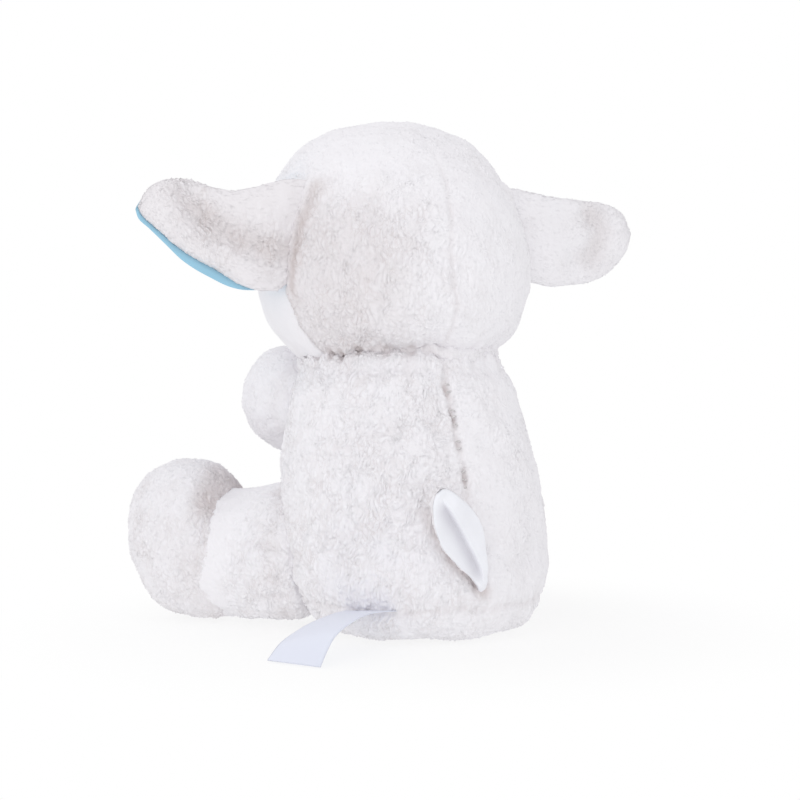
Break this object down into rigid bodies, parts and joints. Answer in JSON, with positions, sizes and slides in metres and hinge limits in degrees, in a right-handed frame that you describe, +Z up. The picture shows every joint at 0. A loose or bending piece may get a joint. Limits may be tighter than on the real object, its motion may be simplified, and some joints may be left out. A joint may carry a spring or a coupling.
{
  "type": "plush sheep",
  "caption": "Seated white curly-fleece sheep toy with blue-lined ears, short arms and tail, stuffed legs with upright feet, and sewn joints that flex.",
  "frame": {"origin": "middle of the flat base, between the hips, on the surface it sits on", "axes": "+Z up, -Y the way the sheep faces, +X its left"},
  "size_m": [0.2682, 0.2041, 0.25],
  "materials": {
    "curly_fleece": "white curly sherpa fleece",
    "short_pile": "white short-pile plush",
    "blue_lining": "pale blue smooth plush",
    "white_lining": "smooth white plush",
    "stuffing": "polyester fibre filling",
    "calico": "plain woven cotton pouch",
    "satin_label": "plain white satin ribbon",
    "eye_plastic": "glossy black safety eye",
    "washer_plastic": "pale lock washer",
    "nose_thread": "brown embroidery thread"
  },
  "bodies": {
    "torso": {"torso_base_panel": "curly_fleece", "torso_belly_panel": "curly_fleece", "torso_left_panel": "curly_fleece", "torso_right_panel": "curly_fleece", "torso_stuffing": "stuffing", "pellet_pouch": "calico", "care_label": "satin_label"},
    "neck": {"neck_collar": "curly_fleece", "neck_stuffing": "stuffing"},
    "head": {"face_panel": "short_pile", "head_left_panel": "curly_fleece", "head_right_panel": "curly_fleece", "head_stuffing": "stuffing", "left_eye": "eye_plastic", "left_eye_washer": "washer_plastic", "right_eye": "eye_plastic", "right_eye_washer": "washer_plastic", "nose": "nose_thread"},
    "left_ear": {"left_ear_cover": "curly_fleece", "left_ear_lining": "blue_lining"},
    "right_ear": {"right_ear_cover": "curly_fleece", "right_ear_lining": "blue_lining"},
    "tail": {"tail_cover": "curly_fleece", "tail_lining": "white_lining"},
    "left_arm": {"left_arm_outer_panel": "curly_fleece", "left_arm_inner_panel": "curly_fleece", "left_arm_stuffing": "stuffing"},
    "left_leg": {"left_leg_outer_panel": "curly_fleece", "left_leg_inner_panel": "curly_fleece", "left_foot_outer_panel": "curly_fleece", "left_foot_inner_panel": "curly_fleece", "left_leg_stuffing": "stuffing"},
    "right_arm": {"right_arm_outer_panel": "curly_fleece", "right_arm_inner_panel": "curly_fleece", "right_arm_stuffing": "stuffing"},
    "right_leg": {"right_leg_outer_panel": "curly_fleece", "right_leg_inner_panel": "curly_fleece", "right_foot_outer_panel": "curly_fleece", "right_foot_inner_panel": "curly_fleece", "right_leg_stuffing": "stuffing"}
  },
  "joints": [
    {"name": "neck_turn", "type": "hinge", "parent": "torso", "child": "neck", "pos_m": [0, -0.018, 0.134], "axis": [0, 0, 1], "range_deg": [-20, 20], "stiffness_Nm_per_rad": 0.6},
    {"name": "head_nod", "type": "hinge", "parent": "neck", "child": "head", "pos_m": [0, -0.018, 0.134], "axis": [1, 0, 0], "range_deg": [-6, 5], "stiffness_Nm_per_rad": 1.2},
    {"name": "left_ear_flop", "type": "hinge", "parent": "head", "child": "left_ear", "pos_m": [0.0606, -0.002, 0.1905], "axis": [-0.225, 0, 0.9744], "range_deg": [-15, 25], "stiffness_Nm_per_rad": 0.06},
    {"name": "right_ear_flop", "type": "hinge", "parent": "head", "child": "right_ear", "pos_m": [-0.0606, -0.002, 0.1905], "axis": [-0.225, 0, -0.9744], "range_deg": [-15, 25], "stiffness_Nm_per_rad": 0.06},
    {"name": "tail_lift", "type": "hinge", "parent": "torso", "child": "tail", "pos_m": [-0.006, 0.06389, 0.024], "axis": [-0.8192, 0, 0.5736], "range_deg": [0, 40], "stiffness_Nm_per_rad": 0.04},
    {"name": "left_arm_swing", "type": "hinge", "parent": "torso", "child": "left_arm", "pos_m": [0.033, -0.056, 0.108], "axis": [-1, 0, 0], "range_deg": [-25, 5], "stiffness_Nm_per_rad": 0.25},
    {"name": "right_arm_swing", "type": "hinge", "parent": "torso", "child": "right_arm", "pos_m": [-0.033, -0.056, 0.108], "axis": [-1, 0, 0], "range_deg": [-25, 5], "stiffness_Nm_per_rad": 0.25},
    {"name": "left_leg_lift", "type": "hinge", "parent": "torso", "child": "left_leg", "pos_m": [0.0485, -0.035, 0.033], "axis": [-0.788, -0.6157, 0], "range_deg": [0, 25], "stiffness_Nm_per_rad": 0.5},
    {"name": "right_leg_lift", "type": "hinge", "parent": "torso", "child": "right_leg", "pos_m": [-0.0485, -0.035, 0.033], "axis": [-0.788, 0.6157, 0], "range_deg": [0, 25], "stiffness_Nm_per_rad": 0.5}
  ]
}
